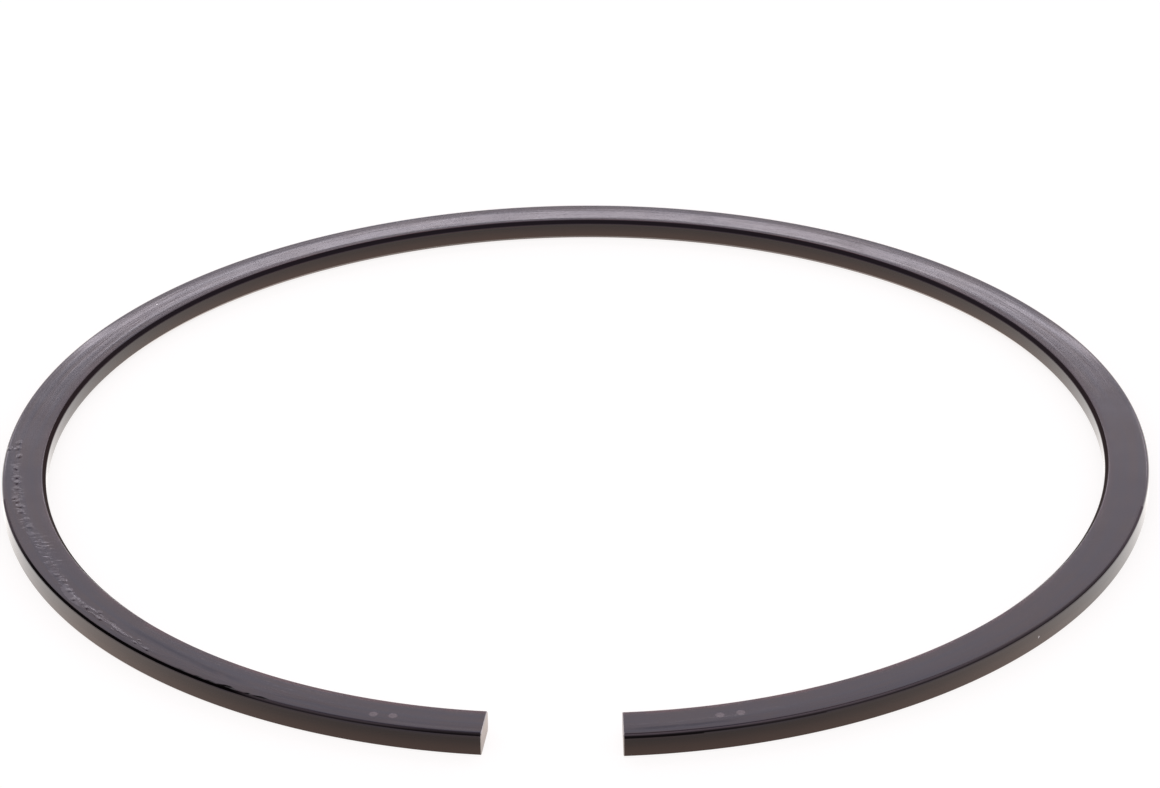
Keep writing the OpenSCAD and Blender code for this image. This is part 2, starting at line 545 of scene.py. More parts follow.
# %% Black coat: where on the ring
def start_material(material):
    """The material's emptied tree with a fresh Principled shader, and the place on the straight bar."""
    material.use_nodes = True
    tree = material.node_tree
    tree.nodes.clear()
    shader = tree.nodes.new("ShaderNodeBsdfPrincipled")
    output = tree.nodes.new("ShaderNodeOutputMaterial")
    feed(tree, output.inputs["Surface"], shader.outputs[0])
    place = add(tree, "ShaderNodeAttribute", attribute_name="ring_place").outputs["Vector"]
    return tree, shader, place


def split_place(tree, place):
    """The parts of a place: along the ring, across it and up."""
    parts = add(tree, "ShaderNodeSeparateXYZ", (place,)).outputs
    return parts["X"], parts["Y"], parts["Z"]


coat_tree, coat_shader, coat_place = start_material(coat)
coat_along, coat_across, coat_level = split_place(coat_tree, coat_place)
coat_math = partial(calc, coat_tree)
coat_ease = partial(ease, coat_tree)
coat_metal = add(coat_tree, "ShaderNodeGroup", {
    "Place": coat_place, "Grain Size": 0.11, "Cloud Size": 2.6, "Lines": (0.04, 9.0, 9.0),
}, node_tree=metal_group).outputs
print("coat reads", [socket.name for socket in coat_metal])

# %% Black coat: sums, products and patches of masks
FADE_FROM = AXIAL_HEIGHT - 0.06
FADE_TO = AXIAL_HEIGHT - 0.01
upper_side = coat_ease(coat_level, FADE_FROM, FADE_TO)


def product(*masks):
    """The product of masks or values, so masks hold where all of them do."""
    result = masks[0]
    for mask in masks[1:]:
        result = coat_math("MULTIPLY", result, mask)
    return result


def total(*values):
    """The sum of values."""
    result = values[0]
    for value in values[1:]:
        result = coat_math("ADD", result, value)
    return result


def stretch(value, start, end, soft):
    """A soft mask where the value lies between start and end."""
    return add(coat_tree, "ShaderNodeGroup", {
        "Value": value, "From": start, "To": end, "Soft": soft}, node_tree=stretch_group).outputs["Mask"]


def patch(along_range, across_range, measure=coat_across):
    """A soft patch of the upper side; each range is a start, an end and a softness in millimetres."""
    return product(upper_side, stretch(coat_along, *along_range), stretch(measure, *across_range))


print("the upper side starts", FADE_FROM, "mm up")

# %% [markdown]
# ## Oil and handling marks on the upper side
# One half of the upper side has a seam of dried oil that wanders along it. It starts as a row of
# small beads, goes on as fine slanting ripples and loose bits, and ends in bright wrinkles near the
# running edge. Oil marks are relief more than colour, so they are built as heights and go into the
# bump: a tilted bit of coat mirrors another part of the room, and that is what the eye sees.

# %% The line that the seam of oil follows
SEAM = ((-58.0, 0.92), (-62.5, 0.62), (-66.2, 0.42), (-69.5, 0.50), (-74.0, 0.22),
        (-78.0, 0.48), (-81.5, 0.86), (-84.5, 0.72), (-90.0, 1.02))
WANDER_SCALE = 0.8
seam_across = SEAM[0][1]
for (near, start), (far, end) in zip(SEAM, SEAM[1:]):
    seam_across = total(seam_across, coat_ease(coat_along, near, far, 0.0, end - start))
off_seam = coat_math("SUBTRACT", coat_across, seam_across)
wander = noise(coat_tree, coat_place, WANDER_SCALE)
print("the seam runs from", SEAM[0], "to", SEAM[-1])

# %% Drops and bits of oil, each at its place
NOISE_MEAN = 0.5
WOBBLE_SCALE = 2.2
WOBBLE_REACH = (0.22, 0.22, 0.0)
wobble = add(coat_tree, "ShaderNodeTexNoise", {
    "Vector": coat_place, "Scale": WOBBLE_SCALE, "Detail": 1.0}).outputs["Color"]
wobble = vector_calc(coat_tree, "SUBTRACT", wobble, (NOISE_MEAN, NOISE_MEAN, NOISE_MEAN))
wobble = vector_calc(coat_tree, "MULTIPLY", wobble, WOBBLE_REACH)
oil_place = vector_calc(coat_tree, "ADD", coat_place, wobble)


def dab(along, across, long, wide, turn=0.0):
    """A raised dab on the upper side; its sizes are half its length along the ring and half its width."""
    return add(coat_tree, "ShaderNodeGroup", {
        "Place": oil_place, "Centre": (along, across, AXIAL_HEIGHT), "Turn": math.radians(turn),
        "Long": long, "Wide": wide}, node_tree=dab_group).outputs["Mask"]


BEAD_LONG = 0.38
BEAD_WIDE = 0.25
# Each bead: along, across, share of the full height
BEADS = ((-59.2, 0.68, 0.5), (-60.0, 0.64, 0.6), (-60.0, 1.21, 0.5), (-61.1, 0.42, 0.7),
         (-62.8, 0.54, 1.0), (-64.1, 0.47, 1.3), (-64.9, 0.47, 1.1), (-65.7, 0.49, 0.9),
         (-67.0, 0.67, 0.7), (-67.5, 0.57, 0.8), (-68.2, 0.45, 0.6), (-69.0, 0.46, 0.6),
         (-70.1, 0.30, 0.5), (-71.1, 0.21, 0.5))
# Each bit: along, across, half length, half width, turn in degrees, share of the full height
BITS = ((-78.1, 0.47, 0.30, 0.25, 0, 0.5), (-79.0, 0.40, 0.30, 0.30, 0, 0.5),
        (-80.3, 0.60, 0.30, 0.26, 0, 0.8), (-81.5, 0.87, 0.28, 0.24, 0, 1.3),
        (-82.2, 0.75, 0.40, 0.20, 20, 0.8), (-82.9, 0.72, 0.34, 0.22, 10, 1.3),
        (-83.9, 0.83, 0.60, 0.12, 0, 0.7), (-83.9, 0.37, 0.25, 0.20, 0, 0.6),
        (-84.6, 0.78, 0.30, 0.20, 0, 0.8), (-85.5, 0.41, 0.35, 0.15, 0, -0.4),
        (-86.7, 0.80, 0.95, 0.12, 2, 0.6), (-88.4, 0.90, 0.35, 0.15, 0, 0.7),
        (-88.4, 0.55, 0.20, 0.12, 0, 0.4), (-89.5, 0.96, 0.40, 0.16, 0, 0.8))
drops = total(*[product(dab(x, y, BEAD_LONG, BEAD_WIDE), share) for x, y, share in BEADS])
bits = total(*[product(dab(x, y, long, wide, turn), share) for x, y, long, wide, turn, share in BITS])
print("oil:", len(BEADS), "drops and", len(BITS), "bits")

# %% Ripples and fine wrinkles
RIPPLE_PITCH = 0.58
RIPPLE_SLANT = -0.36
RIPPLE_WANDER = 1.2
BREAK_SCALE = 1.7
BREAK_RANGE = (0.32, 0.58)
DRIED_RANGE = (0.50, 0.68)
# Each patch: its ranges along and across, as a start, an end and a softness
RIPPLE_PATCH = ((-77.6, -71.9, 0.8), (-0.6, 0.45, 0.3))
STROKE_PATCH = ((-82.0, -62.0, 1.5), (-0.42, 0.42, 0.22))
FOLD_PATCH = ((-90.5, -79.5, 1.2), (-0.26, 0.26, 0.14))
slant = total(coat_along, product(coat_across, RIPPLE_SLANT), product(wander, RIPPLE_WANDER))
ripple_wave = coat_math("SINE", product(slant, 2 * math.pi / RIPPLE_PITCH))
broken = coat_ease(noise(coat_tree, coat_place, BREAK_SCALE, detail=1.0), *BREAK_RANGE)
ripples = product(patch(*RIPPLE_PATCH), broken, ripple_wave)


def oil_noise(measure, along_scale, across_scale):
    """Noise that is drawn out on the upper side; the measure runs along the ring."""
    where = add(coat_tree, "ShaderNodeCombineXYZ", (
        product(measure, along_scale), product(coat_across, across_scale))).outputs[0]
    return noise(coat_tree, where, 1.0)


strokes = product(patch(*STROKE_PATCH, off_seam), oil_noise(slant, along_scale=2.3, across_scale=0.9))
folds = product(patch(*FOLD_PATCH, off_seam), oil_noise(coat_along, along_scale=0.8, across_scale=5.0))
dried_oil = coat_ease(total(strokes, folds), *DRIED_RANGE)
print("ripples every", RIPPLE_PITCH, "mm")

# %% Streaks, smears and ridges
STREAK_SCALE = (0.09, 2.6, 2.6)
SMEAR_SCALE = (0.5, 3.0, 1.0)
SMEAR_PATCH = ((-105.0, -86.0, 2.0), (-0.7, 1.1, 0.3))
RIGHT_RIDGE_PATCH = ((103.0, 111.5, 1.5), (0.25, 0.7, 0.2))
LEFT_RIDGE_ALONG = (-112.8, -107.5, 1.0)
LEFT_RIDGE_RISE = (0.84, 1.14)
STREAK_DRIFT = (-89.5, -96.0, -0.06, 0.26)
streaks = noise(coat_tree, vector_calc(coat_tree, "MULTIPLY", coat_place, STREAK_SCALE), 1.0, detail=3.0)
smear_noise = noise(coat_tree, vector_calc(coat_tree, "MULTIPLY", coat_place, SMEAR_SCALE), 1.0, detail=3.0)
smear = product(patch(*SMEAR_PATCH), smear_noise)
left_ridge = product(upper_side, stretch(coat_along, *LEFT_RIDGE_ALONG),
                     coat_ease(coat_across, *LEFT_RIDGE_RISE))
right_ridge = product(patch(*RIGHT_RIDGE_PATCH), smear_noise)
# The blue streak on the left drifts outwards, so it is measured from a line of its own
off_streak = coat_math("SUBTRACT", coat_across, coat_ease(coat_along, *STREAK_DRIFT))
print("streaks and smears use", len(coat_tree.nodes), "nodes so far")

# %% All the oil as heights in millimetres
DROP_HEIGHT = 0.078
BIT_HEIGHT = 0.054
RIPPLE_HEIGHT = 0.0026
STROKE_HEIGHT = 0.018
FOLD_HEIGHT = 0.030
SMEAR_HEIGHT = 0.015
LEFT_RIDGE_HEIGHT = 0.015
RIGHT_RIDGE_HEIGHT = 0.010
STREAK_HEIGHT = 0.006
# Each step: its measure across, its stretch along the ring, and where and how far the height falls
STEPS = (
    (coat_across, (-104.8, -99.0, 1.5), (0.10, 0.75, 0.0, -0.016)),
    (coat_across, (106.5, 112.5, 1.5), (0.56, 0.96, 0.0, -0.011)),
    (off_streak, (-96.2, -87.5, 1.2), (-0.22, 0.22, 0.0, -0.018)))
steps = product(streaks, STREAK_HEIGHT)
for measure, along_range, fall in STEPS:
    steps = total(steps, product(upper_side, stretch(coat_along, *along_range), coat_ease(measure, *fall)))
marks = product(upper_side, total(product(drops, DROP_HEIGHT), product(bits, BIT_HEIGHT)))
oil_height = total(
    marks, product(ripples, RIPPLE_HEIGHT), product(strokes, STROKE_HEIGHT), product(folds, FOLD_HEIGHT),
    product(smear, SMEAR_HEIGHT), product(left_ridge, LEFT_RIDGE_HEIGHT),
    product(right_ridge, RIGHT_RIDGE_HEIGHT), steps)
print("highest drop", round(DROP_HEIGHT * max(share for x, y, share in BEADS), 3), "mm")

# %% Lumps that thicken the dark running edge with sunken relief and painted shade, and dull patches
# Each lump: along, half its length, how far it reaches in
LUMPS = ((-92.9, 0.2, 0.03), (-94.4, 0.2, 0.04), (-95.3, 0.2, 0.03),
         (-96.5, 0.4, 0.16), (-98.05, 0.08, 0.16), (-99.0, 0.3, 0.10))
LUMP_WANDER = 0.6
LUMP_SHIFT = LUMP_WANDER * NOISE_MEAN
LUMP_SOFT = 0.3
EDGE_LINE = 1.27
UPPER_ZONE = (AXIAL_HEIGHT - 0.2, AXIAL_HEIGHT - 0.05)
DULL_PATCH = ((18.8, 21.2, 0.7), (-0.5, 0.6, 0.3))
SMUDGE_PATCH = ((102.0, 112.0, 2.0), (-0.2, 0.8, 0.3))
SMUDGE_RANGE = (0.45, 0.62)
upper_zone = coat_ease(coat_level, *UPPER_ZONE)
lump_measure = total(coat_along, product(wander, LUMP_WANDER))
lump_reach = 0.0
for lump_along, half_span, reach in LUMPS:
    middle = lump_along + LUMP_SHIFT
    lump = stretch(lump_measure, middle - half_span, middle + half_span, LUMP_SOFT)
    lump_reach = total(product(lump, reach), lump_reach)
inside_edge = coat_math("SUBTRACT", coat_across, coat_math("SUBTRACT", EDGE_LINE, lump_reach))
lump_depth = coat_math("MINIMUM", coat_math("MAXIMUM", inside_edge, 0.0), lump_reach)
dull_patch = product(patch(*DULL_PATCH), streaks)
tip_smudge = product(patch(*SMUDGE_PATCH), coat_ease(smear_noise, *SMUDGE_RANGE))
print("edge lumps:", len(LUMPS))

# %% [markdown]
# ## Marks for the fitter
# A ring carries a small mark near its gap that says which side goes up. Plain etched dots stand
# here, two on each side of the gap. An etched dot has no depth to speak of: it is a dull, slightly
# paler disc, so it is a spot in the colour and the roughness. The same group makes two specks of
# dust.

# %% Etched dots and specks of dust
DOT_RADIUS = 0.27
DOT_SOFT = 0.06
DOT_GRAIN = (0.2, 0.55, 0.45, 1.0)
DOTS = ((-107.3, 0.30), (-106.1, 0.44), (105.6, 0.05), (106.9, 0.0))
# Each speck: along, across, up, radius, softness
SPECKS = ((84.15, 1.49, 0.7, 0.085, 0.03), (-36.5, 0.4, AXIAL_HEIGHT, 0.05, 0.02))


def spot(along, across, level, radius, soft):
    """A round mask on the coat."""
    return add(coat_tree, "ShaderNodeGroup", {
        "Place": coat_place, "Centre": (along, across, level), "Radius": radius, "Soft": soft,
    }, node_tree=spot_group).outputs["Mask"]


dots = total(*[spot(x, y, AXIAL_HEIGHT, DOT_RADIUS, DOT_SOFT) for x, y in DOTS])
dots = product(dots, coat_ease(coat_metal["Grain"], *DOT_GRAIN))
specks = total(*[spot(*speck) for speck in SPECKS])
print("dots:", len(DOTS), "specks:", len(SPECKS))

# %% [markdown]
# ## The colour of the coat
# The black changes from warm to violet in clouds and to blue in long streaks. The inner rim is a
# little red towards the tips. The upright faces are brown, and paler near their foot. Each of these
# is one more layer: a mask says how much of the next colour covers the ones below. One picture
# painted by hand could do the same, but masks stay sharp at any distance.

# %% Black coat: masks of the colours
PATCH_SCALE = 0.35
NEAR_TIPS = (70.0, 100.0, 0.25, 1.0)
INNER_RIM = (-0.75, -1.2)
RIM_CLOUDS = (0.25, 0.6)
LEFT_STREAK = ((-97.0, -86.5, 1.5), (-0.20, 0.20, 0.18))
RIGHT_STREAK = ((106.5, 112.0, 1.0), (0.66, 0.94, 0.15))
STREAK_RANGE = (0.36, 0.56)
UPRIGHT_FADE = (AXIAL_HEIGHT - 0.1, AXIAL_HEIGHT - 0.45)
FOOT_FADE = (1.2, 0.15)
FOOT_ACROSS = (-1.0, 1.0, 1.0, 0.75)
LUMP_EDGE = 0.02
clouds = coat_math("SUBTRACT", coat_metal["Cloud"], NOISE_MEAN)
from_back = coat_math("ABSOLUTE", coat_along)
patches = noise(coat_tree, coat_place, PATCH_SCALE, detail=3.0, rough=0.6)
inner_rim = product(coat_ease(from_back, *NEAR_TIPS), coat_ease(coat_across, *INNER_RIM),
                    coat_ease(coat_metal["Cloud"], *RIM_CLOUDS))
left_streak = product(stretch(coat_along, *LEFT_STREAK[0]), stretch(off_streak, *LEFT_STREAK[1]))
right_streak = product(stretch(coat_along, *RIGHT_STREAK[0]), stretch(coat_across, *RIGHT_STREAK[1]))
blue_streaks = product(upper_side, total(left_streak, right_streak), coat_ease(smear_noise, *STREAK_RANGE))
upright = product(coat_math("SUBTRACT", 1.0, upper_side), coat_ease(coat_level, *UPRIGHT_FADE))
foot = product(coat_ease(coat_level, *FOOT_FADE), coat_ease(coat_across, *FOOT_ACROSS))
# Painted shade: where the lumps reach in, the dark line of the running edge is painted into the colour
lump_painted_shade = product(coat_ease(lump_depth, 0.0, LUMP_EDGE), upper_zone)
print("coat tree now", len(coat_tree.nodes), "nodes")

# %% Black coat: layers of colour
WARM_BLACK = (0.0380, 0.0230, 0.0250, 1)
VIOLET_BLACK = (0.0300, 0.0205, 0.0300, 1)
BLUE_BLACK = (0.0220, 0.0200, 0.0340, 1)
EDGE_PAINTED_SHADE = (0.0020, 0.0012, 0.0015, 1)
BROWN_BLACK = (0.0180, 0.0080, 0.0066, 1)
BROWN_FOOT = (0.0900, 0.0475, 0.0318, 1)
STREAK_BLUE = (0.0040, 0.0030, 0.0180, 1)
RED_BLACK = (0.0850, 0.0260, 0.0290, 1)
OIL_GREY = (0.1250, 0.1150, 0.1320, 1)
DOT_GREY = (0.125, 0.099, 0.109, 1)
DUST = (0.75, 0.73, 0.70, 1)
DRIED_SHARE = 0.55
VIOLET_RANGE = (0.35, 0.65)
BLUE_RANGE = (0.42, 0.68)


def blend(tree, factor, first, second):
    """A colour between two others. A Mix node's inputs 0, 6 and 7 are its factor and its colours."""
    return add(tree, "ShaderNodeMix", {0: factor, 6: first, 7: second}, data_type="RGBA").outputs[2]


layers = (
    (coat_ease(patches, *VIOLET_RANGE), VIOLET_BLACK),
    (coat_ease(streaks, *BLUE_RANGE), BLUE_BLACK),
    (inner_rim, RED_BLACK),
    (product(dried_oil, DRIED_SHARE), OIL_GREY),
    (blue_streaks, STREAK_BLUE),
    (upright, blend(coat_tree, foot, BROWN_BLACK, BROWN_FOOT)),
    # painted shade along the lumps of the running edge
    (lump_painted_shade, EDGE_PAINTED_SHADE),
    (dots, DOT_GREY),
    (specks, DUST))
tone = WARM_BLACK
for cover, colour in layers:
    tone = blend(coat_tree, cover, tone, colour)
feed(coat_tree, coat_shader.inputs["Base Color"], tone)
print("coat colour in", len(layers), "layers over", WARM_BLACK[:3])

# %% Black coat: roughness
COAT_ROUGHNESS = 0.108
CLOUD_DULLS = 0.08
PATCH_DULLS = 0.08
SMUDGE_DULLS = 0.12
DOT_DULLS = 0.12
dullness = total(product(dull_patch, PATCH_DULLS), product(tip_smudge, SMUDGE_DULLS))
roughness = total(COAT_ROUGHNESS, product(clouds, CLOUD_DULLS), dullness, product(dots, DOT_DULLS))
feed(coat_tree, coat_shader.inputs["Roughness"], roughness)
print("coat roughness around", COAT_ROUGHNESS)

# %% [markdown]
# ## The relief of the coat
# A ground side isn't quite flat: it falls off by some hundredths of a millimetre towards its rims,
# which tilts what the rims mirror. On the outer part the fall is strongest in front, and it stops
# for a stretch on each side. The oil, the lumps, the grain and the tool lines are added to it, and
# one Bump node turns the sum of the heights into a tilt of the surface.

# %% Black coat: relief
FALL_END = 1.25
OUTER_FLAT = 0.1
OUTER_FALL = 0.0145
INNER_FLAT = 0.66
INNER_FALL = 0.042
# Soft steps of the outer fall by the distance from the back: start, end and the values there
SIDE_STEPS = ((12.0, 36.0, 1.0, 2.0), (38.0, 48.0, 0.0, -2.0), (62.0, 80.0, 0.0, 2.2))
LUMP_SINK = -0.3
GRAIN_HEIGHT = 0.0006
LINE_HEIGHT = 0.0005
COAT_IOR = 1.5


def past(value, start):
    """How far the value lies past the start, and no further than the end of the fall."""
    reach = coat_math("SUBTRACT", coat_math("MINIMUM", value, FALL_END), start)
    return coat_math("MAXIMUM", reach, 0.0)


outer_reach = past(coat_across, OUTER_FLAT)
inner_reach = past(product(coat_across, -1.0), INNER_FLAT)
side_share = total(*[coat_ease(from_back, *side_step) for side_step in SIDE_STEPS])
edge_fall = total(product(outer_reach, outer_reach, side_share, -OUTER_FALL),
                  product(inner_reach, inner_reach, -INNER_FALL))
relief = total(oil_height, edge_fall, product(lump_depth, upper_zone, LUMP_SINK),
               product(coat_metal["Grain"], GRAIN_HEIGHT), product(coat_metal["Tool Lines"], LINE_HEIGHT))
coat_bump = add(coat_tree, "ShaderNodeBump", {"Strength": 1.0, "Distance": MM, "Height": relief})
feed(coat_tree, coat_shader.inputs["Normal"], coat_bump.outputs["Normal"])
coat_shader.inputs["IOR"].default_value = COAT_IOR
print("black coat:", len(coat_tree.nodes), "nodes")

# %% [markdown]
# ## The edges with painted light
# The rounded running edge and the inner chamfer have a material of their own with almost no gloss,
# and light and shade are painted into its colour. On the front half the running edge is a dark line
# of painted shade, which stands in for the dim band of the room that the edge mirrors, and it fades
# out towards the sides. It is deep black on the left. On its upper part on the right and near the
# left tip it has a grey painted highlight, which stands in for the lit wall that it mirrors. The
# inner chamfer is painted dark all round and blackest at the back, a painted shade. A glossy edge
# would flash wherever it mirrors a light, so these edges stay dark from all sides.

# %% Edge with painted light: the running edge
EDGE_PAINTED_SOFT_SHADE = (0.0280, 0.0220, 0.0235, 1)
EDGE_PAINTED_HIGHLIGHT = (0.1120, 0.0930, 0.1030, 1)
# Soft steps along the ring: where each starts and ends, and its values there
SOFT_SHADE_LEFT = (-96.8, -100.0, 0.0, 0.7)
SOFT_SHADE_LEFT_TIP = (-110.0, -104.0, 0.3, 1.0)
SOFT_SHADE_RIGHT_TIP = (109.0, 103.0, 0.3, 1.0)
HIGHLIGHT_LEFT = (-96.8, -99.0, 0.0, 0.5)
HIGHLIGHT_LEFT_TIP = (-111.0, -106.0, 0.4, 1.0)
HIGHLIGHT_RIGHT = (84.0, 98.0, 0.55, 1.0)
SIDE_FADE = (77.0, 67.0)
HIGHLIGHT_LEVEL = (1.37, 1.47)
edge_tree, edge_shader, edge_place = start_material(edge_painted_light)
edge_along, edge_across, edge_level = split_place(edge_tree, edge_place)
edge_math = partial(calc, edge_tree)
edge_ease = partial(ease, edge_tree)
edge_blend = partial(blend, edge_tree)
edge_distance = edge_math("ABSOLUTE", edge_along)
on_right = edge_math("GREATER_THAN", edge_along, 0.0)
soft_shade_left = edge_math("MULTIPLY", edge_ease(edge_along, *SOFT_SHADE_LEFT), edge_ease(edge_along, *SOFT_SHADE_LEFT_TIP))
soft_shade_right = edge_math("MULTIPLY", edge_ease(edge_along, *SOFT_SHADE_RIGHT_TIP), on_right)
highlight_left = edge_math("MULTIPLY", edge_ease(edge_along, *HIGHLIGHT_LEFT), edge_ease(edge_along, *HIGHLIGHT_LEFT_TIP))
highlight_right = edge_math("MULTIPLY", edge_ease(edge_along, *HIGHLIGHT_RIGHT), on_right)
highlight_top = edge_math("MULTIPLY", edge_ease(edge_level, *HIGHLIGHT_LEVEL), edge_math("ADD", highlight_left, highlight_right))
# Painted shade and painted highlight: the black line stands in for the dim room mirrored in the edge, the
# grey for the lit wall
running_painted_light = edge_blend(edge_math("ADD", soft_shade_left, soft_shade_right), EDGE_PAINTED_SHADE, EDGE_PAINTED_SOFT_SHADE)
running_painted_light = edge_blend(edge_ease(edge_distance, *SIDE_FADE), running_painted_light, EDGE_PAINTED_HIGHLIGHT)
running_painted_light = edge_blend(highlight_top, running_painted_light, EDGE_PAINTED_HIGHLIGHT)
print("running edge:", len(edge_tree.nodes), "nodes")

# %% Edge with painted light: the inner chamfer
INNER_PAINTED_SHADE = (0.0200, 0.0150, 0.0185, 1)
INNER_PAINTED_SOFT_SHADE = (0.0350, 0.0230, 0.0210, 1)
INNER_FADE = (35.0, 70.0)
EDGE_ROUGHNESS = 0.5
EDGE_IOR = 1.05
# Painted shade: the inner chamfer is painted dark all round, blackest at the back
inner_painted_shade = edge_blend(edge_ease(edge_distance, *INNER_FADE), INNER_PAINTED_SHADE, INNER_PAINTED_SOFT_SHADE)
edge_painted_tone = edge_blend(edge_math("LESS_THAN", edge_across, 0.0), running_painted_light, inner_painted_shade)
feed(edge_tree, edge_shader.inputs["Base Color"], edge_painted_tone)
edge_shader.inputs["Roughness"].default_value = EDGE_ROUGHNESS
edge_shader.inputs["IOR"].default_value = EDGE_IOR
print("dull edge:", len(edge_tree.nodes), "nodes")

# %% [markdown]
# ## The bare tips
# The tips are cut and ground to length after the ring is coated, so the iron shows there. It is
# pale and dull, with grinding lines straight across the section. The same worked-metal group gives
# the grain and the lines, with its lines turned to run across.

# %% Bare ground iron
IRON_PALE = (0.616, 0.621, 0.604, 1)
IRON_DARK = (0.445, 0.433, 0.416, 1)
IRON_ROUGHNESS = 0.38
GRAIN_DULLS = 0.2
GRIND_HEIGHT = 0.004
iron_tree, iron_shader, iron_place = start_material(bare_iron)
iron_metal = add(iron_tree, "ShaderNodeGroup", {
    "Place": iron_place, "Grain Size": 0.08, "Cloud Size": 0.6, "Lines": (0.5, 0.6, 14.0),
}, node_tree=metal_group).outputs
iron_tone = blend(iron_tree, iron_metal["Cloud"], IRON_DARK, IRON_PALE)
iron_roughness = calc(iron_tree, "MULTIPLY_ADD", iron_metal["Grain"], GRAIN_DULLS, IRON_ROUGHNESS)
iron_height = calc(iron_tree, "MULTIPLY", iron_metal["Tool Lines"], GRIND_HEIGHT)
iron_bump = add(iron_tree, "ShaderNodeBump", {"Strength": 1.0, "Distance": MM, "Height": iron_height})
feed(iron_tree, iron_shader.inputs["Base Color"], iron_tone)
feed(iron_tree, iron_shader.inputs["Roughness"], iron_roughness)
feed(iron_tree, iron_shader.inputs["Normal"], iron_bump.outputs["Normal"])
iron_shader.inputs["Metallic"].default_value = 1.0
print("bare iron:", len(iron_tree.nodes), "nodes")

# %% [markdown]
# ## The floor
# The ring lies on a plain white sheet. The sheet gives the camera and the mirrored rays a white of
# its own and still takes the ring's shadow. What mirrored rays see of it is brighter and more
# neutral in the middle than at the front and the back, as on a sheet with a light over its middle.
# A lamp could make that pool of light, but it would also light the ring.

# %% Floor
FLOOR_RADIUS = 1.6
FLOOR_SIDES = 96
floor_mesh = bpy.data.meshes.new("floor")
floor_shape = bmesh.new()
bmesh.ops.create_circle(floor_shape, cap_ends=True, radius=FLOOR_RADIUS, segments=FLOOR_SIDES)
floor_shape.to_mesh(floor_mesh)
floor_shape.free()
floor = bpy.data.objects.new("floor", floor_mesh)
bpy.context.scene.collection.objects.link(floor)
floor_white = bpy.data.materials.new("white_floor")
floor_mesh.materials.append(floor_white)
print("floor", FLOOR_RADIUS * 2, "m across")

# %% Floor: what mirrored rays see
MIRRORED_WARM = (1.0, 0.86, 0.79, 1)
MIRRORED_WHITE = (1.0, 0.965, 0.94, 1)
SHEET_FRONT = 0.62
SHEET_MIDDLE = 1.42
SHEET_BACK = 0.95
FRONT_RAMP = (-42 * MM, -22 * MM)
BACK_RAMP = (5 * MM, 36 * MM)
NEUTRAL_FRONT = (-28 * MM, -16 * MM)
NEUTRAL_BACK = (5 * MM, 28 * MM)
floor_white.use_nodes = True
floor_tree = floor_white.node_tree
floor_tree.nodes.clear()
floor_math = partial(calc, floor_tree)
floor_ease = partial(ease, floor_tree)
floor_place = floor_tree.nodes.new("ShaderNodeTexCoord").outputs["Object"]
floor_y = add(floor_tree, "ShaderNodeSeparateXYZ", (floor_place,)).outputs["Y"]
front_part = floor_ease(floor_y, *FRONT_RAMP, SHEET_FRONT, SHEET_MIDDLE)
back_part = floor_ease(floor_y, *BACK_RAMP, 0.0, SHEET_BACK - SHEET_MIDDLE)
in_middle = floor_math("MULTIPLY", floor_ease(floor_y, *NEUTRAL_FRONT),
                       floor_ease(floor_y, *NEUTRAL_BACK, 1.0, 0.0))
path = floor_tree.nodes.new("ShaderNodeLightPath").outputs
mirrored = floor_math("MAXIMUM", path["Is Glossy Ray"], path["Is Transmission Ray"])
mirrored_light = floor_math("MULTIPLY", mirrored, floor_math("ADD", front_part, back_part))
mirrored_tone = blend(floor_tree, in_middle, MIRRORED_WARM, MIRRORED_WHITE)
print("mirrored floor from", SHEET_FRONT, "to", SHEET_MIDDLE)

# %% Floor: what the camera sees, and the shadow
SHEET_WHITE = (1.0, 0.985, 0.975, 1)
SHEET_GREY = (0.25, 0.25, 0.25, 1)
SHEET_SEEN = 0.84
seen_light = floor_math("MULTIPLY", path["Is Camera Ray"], SHEET_SEEN)
matte = add(floor_tree, "ShaderNodeBsdfDiffuse", {"Color": SHEET_GREY})
glow = add(floor_tree, "ShaderNodeEmission", {
    "Color": blend(floor_tree, path["Is Camera Ray"], mirrored_tone, SHEET_WHITE),
    "Strength": floor_math("ADD", mirrored_light, seen_light)})
sheet = add(floor_tree, "ShaderNodeAddShader", (matte.outputs[0], glow.outputs[0]))
floor_end = floor_tree.nodes.new("ShaderNodeOutputMaterial")
feed(floor_tree, floor_end.inputs["Surface"], sheet.outputs[0])
print("floor seen at", SHEET_SEEN, "and lit on a matte", SHEET_GREY[0])

# %% [markdown]
# ## The room and its lights
# A black satin ring is drawn by what it mirrors. Low light all round, a little dimmer near the
# floor and strongest behind, makes the upper side grey. A dim band above it leaves the tilted edges
# black, and a lit ceiling softens the shadow. A narrow soft light behind makes the far side paler.
# A fill panel in front lights the sheet and the edges with painted light, and mirrored rays don't see it.
# Lamps alone could not draw such even greys, so most of the light comes from the world.

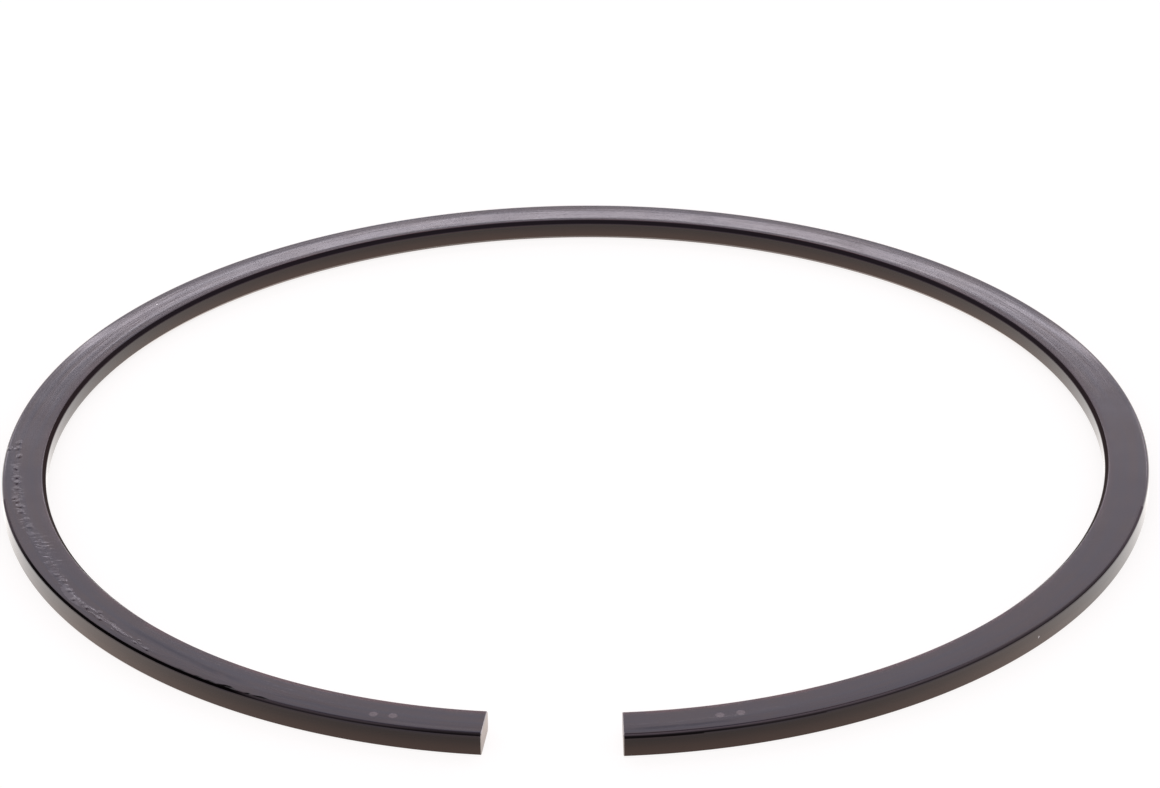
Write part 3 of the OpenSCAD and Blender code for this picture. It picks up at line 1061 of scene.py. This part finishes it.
# %% Room: light by height and direction
BACK_WALL = 1.19
AROUND_SHARE = 0.6
BEHIND = (0.1, 0.6)
DIM = 0.04
CEILING = 0.9
WALL_LOW_SHARE = 0.85
WALL_LOW = math.sin(math.radians(26.5))
WALL_FULL = math.sin(math.radians(32))
WALL_FALL = math.sin(math.radians(45))
WALL_TOP = math.sin(math.radians(59))
CEILING_RIM = math.sin(math.radians(70))
CEILING_FULL = math.sin(math.radians(80))
world = bpy.data.worlds.new("white_room")
bpy.context.scene.world = world
world.use_nodes = True
room = world.node_tree
room.nodes.clear()
room_math = partial(calc, room)
room_ease = partial(ease, room)
direction = room.nodes.new("ShaderNodeTexCoord").outputs["Generated"]
facing = add(room, "ShaderNodeSeparateXYZ", (direction,)).outputs
wall_share = room_math("MULTIPLY", room_ease(facing["Z"], WALL_LOW, WALL_FULL, WALL_LOW_SHARE, 1.0),
                       room_ease(facing["Z"], WALL_FALL, WALL_TOP, 1.0, 0.0))
back_share = room_ease(facing["Y"], *BEHIND, AROUND_SHARE, 1.0)
wall_light = room_math("MULTIPLY", room_math("MULTIPLY", wall_share, back_share), BACK_WALL - DIM)
ceiling_light = room_ease(facing["Z"], CEILING_RIM, CEILING_FULL, DIM, CEILING)
print("room light from", DIM, "to", BACK_WALL)

# %% Room: plain white for the camera
ROOM_COLOUR = (0.985, 0.905, 0.995)
room_light = add(room, "ShaderNodeBackground", {
    "Color": (*ROOM_COLOUR, 1), "Strength": room_math("ADD", wall_light, ceiling_light)})
room_white = add(room, "ShaderNodeBackground", {"Color": (1, 1, 1, 1), "Strength": 1.0})
from_camera = room.nodes.new("ShaderNodeLightPath").outputs["Is Camera Ray"]
room_mix = add(room, "ShaderNodeMixShader", (from_camera, room_light.outputs[0], room_white.outputs[0]))
room_end = room.nodes.new("ShaderNodeOutputWorld")
feed(room, room_end.inputs["Surface"], room_mix.outputs[0])
print("room tree:", len(room.nodes), "nodes")

# %% Soft lights
def soft_light(name, azimuth, elevation, distance, width, tall, radiance, colour):
    """A flat soft light that faces the ring; azimuth is measured from +Y towards +X, in degrees."""
    lamp = bpy.data.lights.new(name, "AREA")
    lamp.shape = "RECTANGLE"
    lamp.size = width
    lamp.size_y = tall
    # A panel that shines evenly sends out pi times its radiance from each square metre
    lamp.energy = radiance * math.pi * width * tall
    lamp.color = colour
    angle = math.radians(azimuth)
    rise = math.radians(elevation)
    out = Vector((math.sin(angle) * math.cos(rise), math.cos(angle) * math.cos(rise), math.sin(rise)))
    box = bpy.data.objects.new(name, lamp)
    box.matrix_world = Matrix.LocRotScale(out * distance, out.to_track_quat("Z", "Y"), None)
    box.visible_camera = False
    bpy.context.scene.collection.objects.link(box)
    print(name, "of", width, "by", tall, "m")
    return box


soft_light("back_softbox", azimuth=0, elevation=24.7, distance=1.2,
           width=1.1, tall=0.040, radiance=3.8, colour=ROOM_COLOUR)
fill = soft_light("fill_panel", azimuth=180, elevation=75, distance=1.1,
                  width=1.2, tall=1.2, radiance=0.7, colour=(1.0, 1.0, 1.0))
fill.visible_glossy = False
bpy.context.scene.view_settings.view_transform = "Standard"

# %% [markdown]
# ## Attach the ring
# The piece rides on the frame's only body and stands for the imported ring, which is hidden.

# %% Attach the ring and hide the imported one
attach(ring, "root")
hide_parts("compression_ring")
